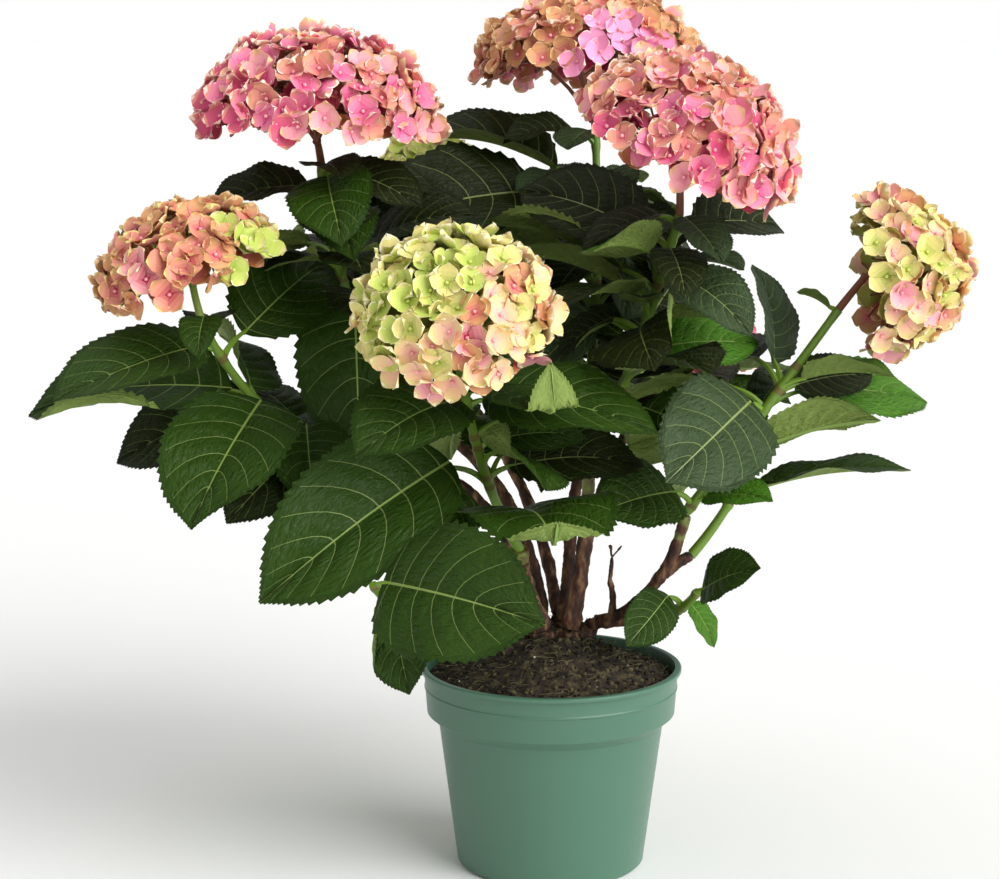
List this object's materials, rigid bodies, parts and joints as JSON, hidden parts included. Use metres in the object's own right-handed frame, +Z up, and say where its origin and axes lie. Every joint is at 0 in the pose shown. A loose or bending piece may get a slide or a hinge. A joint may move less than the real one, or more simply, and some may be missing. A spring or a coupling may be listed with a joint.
{
  "type": "potted hydrangea shrub",
  "caption": "Mophead hydrangea shrub with pink, peach and lime flower heads, broad toothed leaves and brown canes, in a tapered green nursery pot.",
  "frame": {"origin": "centre of the pot's flat underside, where it stands", "axes": "+Z up along the pot; +X to the right and -Y to the front of the plant, the side with the low leaves over the rim"},
  "size_m": [0.7411, 0.5743, 0.7017],
  "materials": {
    "pot_green": "satin",
    "potting_soil": "matte",
    "cane_bark": "matte",
    "leaf_green": "satin",
    "petal_rose": "matte",
    "petal_peach": "matte",
    "petal_lime": "matte",
    "petal_cream": "matte"
  },
  "bodies": {
    "root": {"pot": "pot_green", "soil": "potting_soil", "root_crown": "cane_bark", "cane_front": "cane_bark", "cane_low_front": "cane_bark", "cane_middle": "cane_bark", "cane_right": "cane_bark", "cane_low_right": "cane_bark", "cane_left": "cane_bark", "cane_upper_left": "cane_bark", "cane_top": "cane_bark", "cane_back_left": "cane_bark", "cane_back_right": "cane_bark", "shoot_front": "leaf_green", "shoot_low_front": "leaf_green", "shoot_left": "leaf_green", "shoot_upper_left": "leaf_green", "shoot_middle": "leaf_green", "shoot_top": "leaf_green", "shoot_right": "leaf_green", "shoot_low_right": "leaf_green", "shoot_right_foot": "leaf_green", "shoot_back_left": "leaf_green", "shoot_back_right": "leaf_green", "bloom_upper_left": "petal_rose", "bloom_top": "petal_peach", "bloom_top_right": "petal_rose", "bloom_left": "petal_peach", "bloom_centre": "petal_lime", "bloom_right": "petal_cream", "bloom_back_left": "petal_lime", "bloom_back_right": "petal_rose"}
  },
  "joints": []
}
